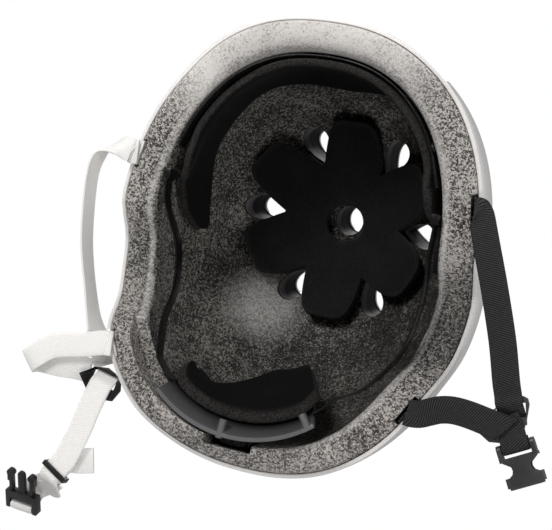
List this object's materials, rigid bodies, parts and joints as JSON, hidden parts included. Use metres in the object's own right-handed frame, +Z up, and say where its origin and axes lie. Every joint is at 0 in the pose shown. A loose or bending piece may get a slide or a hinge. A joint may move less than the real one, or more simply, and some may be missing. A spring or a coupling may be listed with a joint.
{
  "type": "skate helmet",
  "caption": "Hard-shell skate helmet with foam liner, comfort pads, dial-fit headband and chin harness with side-release buckle.",
  "frame": {"origin": "middle of the head opening, on the plane that the rim rests on", "axes": "+Z up through the crown, -Y to the wearer's front, +X to the wearer's left"},
  "size_m": [0.3245, 0.3262, 0.151],
  "materials": {
    "shell": "gloss",
    "foam": "moulded beads, satin",
    "pad": "brushed knit",
    "hook": "hook tape",
    "band": "satin",
    "cradle": "semi-gloss",
    "dial": "satin",
    "metal": "satin",
    "webbing_black": "ribbed weave",
    "webbing_white": "ribbed weave",
    "buckle_grey": "satin",
    "buckle_black": "satin"
  },
  "bodies": {
    "helmet": {"outer_shell": "shell", "eps_liner": "foam", "crown_pad": "pad", "brow_pad": "pad", "hook_discs": "hook", "brow_band": "band", "band_anchors": "band", "temple_guides": "band", "strap_rivets": "metal", "rivet_washers": "metal", "strap_tabs": "webbing_black"},
    "cradle": {"rear_cradle": "cradle", "rear_pad": "pad", "left_band_arm": "band", "right_band_arm": "band", "dial_housing": "cradle", "dial_cover": "cradle", "dial_pin": "metal"},
    "dial": {"fit_dial": "dial", "dial_pinion": "dial"},
    "rack_left": {"left_rack": "band"},
    "rack_right": {"right_rack": "band"},
    "harness_left": {"left_front_strap": "webbing_black", "left_rear_strap": "webbing_black", "left_divider": "buckle_grey", "left_chin_strap": "webbing_black"},
    "socket": {"buckle_socket": "buckle_grey"},
    "harness_right": {"right_front_strap": "webbing_white", "right_rear_strap": "webbing_white", "right_divider": "buckle_black", "right_chin_strap": "webbing_white"},
    "ring": {"keeper_ring": "buckle_black"},
    "plug": {"buckle_plug": "buckle_black"},
    "prong_left": {"plug_prong_left": "buckle_black"},
    "prong_right": {"plug_prong_right": "buckle_black"}
  },
  "joints": [
    {"name": "fit_slide", "type": "slide", "parent": "helmet", "child": "cradle", "axis": [0, -1, 0], "range_m": [0, 0.008]},
    {"name": "dial_turn", "type": "hinge", "parent": "cradle", "child": "dial", "pos_m": [-0.009, 0.11749, 0.024], "axis": [0, -1, 0], "range_deg": [0, 96]},
    {"name": "left_rack_slide", "type": "slide", "parent": "cradle", "child": "rack_left", "axis": [-1, 0, 0], "range_m": [0, 0.0085]},
    {"name": "right_rack_slide", "type": "slide", "parent": "cradle", "child": "rack_right", "axis": [1, 0, 0], "range_m": [0, 0.0085]},
    {"name": "left_harness_swing", "type": "hinge", "parent": "helmet", "child": "harness_left", "pos_m": [0.10508, -0.0385, 0.0077], "axis": [-0.1108, 0.9921, -0.058], "range_deg": [0, 95]},
    {"name": "socket_swing", "type": "hinge", "parent": "harness_left", "child": "socket", "pos_m": [0.15379, 0.0831, 0.0033], "axis": [0.8755, -0.4833, 0], "range_deg": [-50, 60]},
    {"name": "right_harness_swing", "type": "hinge", "parent": "helmet", "child": "harness_right", "pos_m": [-0.10508, -0.0385, 0.0077], "axis": [-0.1108, -0.9921, 0.058], "range_deg": [0, 95]},
    {"name": "ring_slide", "type": "slide", "parent": "harness_right", "child": "ring", "axis": [-0.4711, 0.8821, 0], "range_m": [-0.0025, 0.0015]},
    {"name": "plug_swing", "type": "hinge", "parent": "harness_right", "child": "plug", "pos_m": [-0.13659, 0.18778, 0.0164], "axis": [0.9986, 0.0523, 0], "range_deg": [0, 50]},
    {"name": "left_prong_squeeze", "type": "hinge", "parent": "plug", "child": "prong_left", "pos_m": [-0.12885, 0.17952, 0.0114], "axis": [-0.0262, 0.4993, -0.866], "range_deg": [0, 6], "stiffness_Nm_per_rad": 0.05},
    {"name": "right_prong_squeeze", "type": "hinge", "parent": "plug", "child": "prong_right", "pos_m": [-0.14343, 0.17875, 0.0114], "axis": [0.0262, -0.4993, 0.866], "range_deg": [0, 6], "stiffness_Nm_per_rad": 0.05}
  ],
  "couplings": [
    {"joint": "dial_turn", "follows": "fit_slide", "rad_per_m": 200},
    {"joint": "left_rack_slide", "follows": "fit_slide", "ratio": 1},
    {"joint": "right_rack_slide", "follows": "fit_slide", "ratio": 1}
  ]
}
